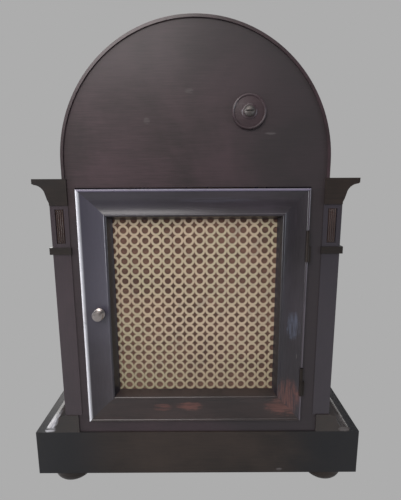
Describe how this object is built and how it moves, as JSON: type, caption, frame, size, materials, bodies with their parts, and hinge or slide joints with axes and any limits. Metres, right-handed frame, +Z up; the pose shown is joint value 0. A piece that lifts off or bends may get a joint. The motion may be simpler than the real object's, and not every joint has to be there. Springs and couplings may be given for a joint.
{
  "type": "bracket clock",
  "caption": "Arch-topped ebonised bracket clock with fretted back door, glazed front door, pilasters, plinth on bun feet, geared movement, pendulum and gong",
  "frame": {"origin": "centre of the bounding box at the plane the feet stand on", "axes": "+Z up; the dial faces -Y and the fretted back door faces +Y; +X is right as seen from the front"},
  "size_m": [0.3634, 0.2476, 0.5076],
  "materials": {
    "ebonised_wood": "worn french polish over black stain",
    "plain_wood": "unpolished",
    "brass": "lacquered",
    "fret_brass": "dull lacquered",
    "silvered_brass": "silvered matt",
    "steel": "polished",
    "blued_steel": "blued",
    "cast_iron": "black painted",
    "glass": "clear",
    "sound_cloth": "faded silk"
  },
  "bodies": {
    "case": {"bun_feet": "ebonised_wood", "plinth_rails": "ebonised_wood", "base_mouldings": "ebonised_wood", "floor_board": "plain_wood", "side_board_left": "ebonised_wood", "side_board_right": "ebonised_wood", "arch_shell": "ebonised_wood", "back_board": "ebonised_wood", "front_board": "ebonised_wood", "back_pilasters": "ebonised_wood", "front_pilasters": "ebonised_wood", "pilaster_collars": "ebonised_wood", "capitals": "ebonised_wood", "seat_board": "plain_wood", "seat_bearers": "plain_wood", "back_hinge_case_leaves": "brass", "front_hinge_case_leaves": "brass", "dial_plate": "brass", "chapter_ring": "silvered_brass", "arch_ring": "silvered_brass", "dial_spandrels": "brass", "dial_pillars": "brass", "front_plate": "brass", "back_plate": "brass", "plate_pillars": "brass", "suspension_cock": "brass", "gong_coil": "blued_steel", "gong_post": "cast_iron", "gong_disc": "ebonised_wood", "gong_screw": "steel"},
    "back_door": {"back_door_stile_left": "ebonised_wood", "back_door_stile_right": "ebonised_wood", "back_door_top_rail": "ebonised_wood", "back_door_bottom_rail": "ebonised_wood", "back_fret": "fret_brass", "back_fret_cloth": "sound_cloth", "back_hinge_door_leaves": "brass"},
    "back_latch": {"back_knob": "brass", "back_latch_tongue": "brass"},
    "front_door": {"front_door_frame": "ebonised_wood", "front_glass": "glass", "front_sight_ring": "brass", "front_knob": "brass", "front_hinge_door_leaves": "brass"},
    "minute_work": {"centre_wheel": "brass", "minute_hand": "blued_steel"},
    "hour_work": {"hour_wheel": "brass", "hour_hand": "blued_steel"},
    "minute_wheel": {"minute_wheel": "brass"},
    "going_barrel": {"going_barrel": "brass"},
    "third_wheel": {"third_wheel": "brass"},
    "escape_wheel": {"escape_wheel": "brass"},
    "pendulum": {"pendulum_rod": "brass", "pendulum_bob": "brass", "rating_nut": "brass"},
    "pallets": {"pallets": "steel"},
    "strike_barrel": {"strike_barrel": "brass"},
    "pin_wheel": {"pin_wheel": "brass"},
    "fly": {"fly": "steel"},
    "hammer": {"hammer": "steel"}
  },
  "joints": [
    {"name": "back_door_swing", "type": "hinge", "parent": "case", "child": "back_door", "pos_m": [-0.1128, 0.11555, 0.2], "axis": [0, 0, 1], "range_deg": [0, 110]},
    {"name": "back_latch_turn", "type": "hinge", "parent": "back_door", "child": "back_latch", "pos_m": [0.102, 0.11525, 0.2203], "axis": [0, -1, 0], "range_deg": [0, 90]},
    {"name": "front_door_swing", "type": "hinge", "parent": "case", "child": "front_door", "pos_m": [0.1176, -0.08925, 0.2], "axis": [0, 0, 1], "range_deg": [0, 95]},
    {"name": "minute_hand_turn", "type": "hinge", "parent": "case", "child": "minute_work", "pos_m": [0, 0, 0.262], "axis": [0, 1, 0], "continuous": true},
    {"name": "hour_hand_turn", "type": "hinge", "parent": "case", "child": "hour_work", "pos_m": [0, 0, 0.262], "axis": [0, 1, 0], "continuous": true},
    {"name": "minute_wheel_turn", "type": "hinge", "parent": "case", "child": "minute_wheel", "pos_m": [0, 0, 0.244], "axis": [0, 1, 0], "continuous": true},
    {"name": "going_barrel_turn", "type": "hinge", "parent": "case", "child": "going_barrel", "pos_m": [0.04163, 0, 0.25162], "axis": [0, 1, 0], "continuous": true},
    {"name": "third_wheel_turn", "type": "hinge", "parent": "case", "child": "third_wheel", "pos_m": [0.00707, 0, 0.28837], "axis": [0, 1, 0], "continuous": true},
    {"name": "escape_wheel_turn", "type": "hinge", "parent": "case", "child": "escape_wheel", "pos_m": [0, 0, 0.30954], "axis": [0, 1, 0], "continuous": true},
    {"name": "pendulum_swing", "type": "hinge", "parent": "case", "child": "pendulum", "pos_m": [0, 0.01425, 0.336], "axis": [0, 1, 0], "range_deg": [-2.5, 2.5]},
    {"name": "pallet_rock", "type": "hinge", "parent": "case", "child": "pallets", "pos_m": [0, 0, 0.336], "axis": [0, 1, 0], "range_deg": [-2.5, 2.5]},
    {"name": "strike_barrel_turn", "type": "hinge", "parent": "case", "child": "strike_barrel", "pos_m": [-0.04163, 0, 0.25162], "axis": [0, 1, 0], "continuous": true},
    {"name": "pin_wheel_turn", "type": "hinge", "parent": "case", "child": "pin_wheel", "pos_m": [-0.03714, 0, 0.29429], "axis": [0, 1, 0], "continuous": true},
    {"name": "fly_turn", "type": "hinge", "parent": "case", "child": "fly", "pos_m": [-0.06, 0, 0.30749], "axis": [0, 1, 0], "continuous": true},
    {"name": "hammer_swing", "type": "hinge", "parent": "case", "child": "hammer", "pos_m": [-0.062, 0, 0.34], "axis": [0, 1, 0], "range_deg": [-2, 12], "stiffness_Nm_per_rad": 1}
  ],
  "couplings": [
    {"joint": "hour_hand_turn", "follows": "minute_hand_turn", "ratio": 0.083333},
    {"joint": "minute_wheel_turn", "follows": "minute_hand_turn", "ratio": -0.33333},
    {"joint": "going_barrel_turn", "follows": "minute_hand_turn", "ratio": -0.083333},
    {"joint": "third_wheel_turn", "follows": "minute_hand_turn", "ratio": -12},
    {"joint": "escape_wheel_turn", "follows": "minute_hand_turn", "ratio": 132},
    {"joint": "pallet_rock", "follows": "pendulum_swing", "ratio": 1},
    {"joint": "pin_wheel_turn", "follows": "strike_barrel_turn", "ratio": -12},
    {"joint": "fly_turn", "follows": "strike_barrel_turn", "ratio": 120}
  ]
}
